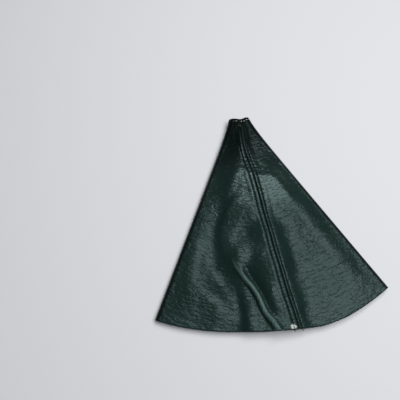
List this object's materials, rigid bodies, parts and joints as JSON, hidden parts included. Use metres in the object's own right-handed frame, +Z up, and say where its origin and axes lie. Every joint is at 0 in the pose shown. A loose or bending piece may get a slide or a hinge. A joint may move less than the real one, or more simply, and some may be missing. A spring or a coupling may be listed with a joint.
{
  "type": "gear lever gaiter",
  "caption": "Dark green leather gear lever gaiter, a cone with one topstitched seam and a stitched neck hem, lying flat in two layers.",
  "frame": {"origin": "on the table, under the middle of the gaiter's bounding box as it lies flat", "axes": "+Z up from the table, +Y towards the neck, +X to the right with the seam on top"},
  "size_m": [0.204, 0.2024, 0.0165],
  "materials": {
    "leather": "satin",
    "seam_thread": "matte",
    "hem_thread": "matte"
  },
  "bodies": {
    "root": {"leather_panel": "leather", "left_topstitch_thread": "seam_thread", "right_topstitch_thread": "seam_thread", "left_bobbin_thread": "seam_thread", "right_bobbin_thread": "seam_thread", "seam_closing_thread": "seam_thread", "hem_stitch_thread": "hem_thread", "hem_bobbin_thread": "hem_thread"}
  },
  "joints": []
}
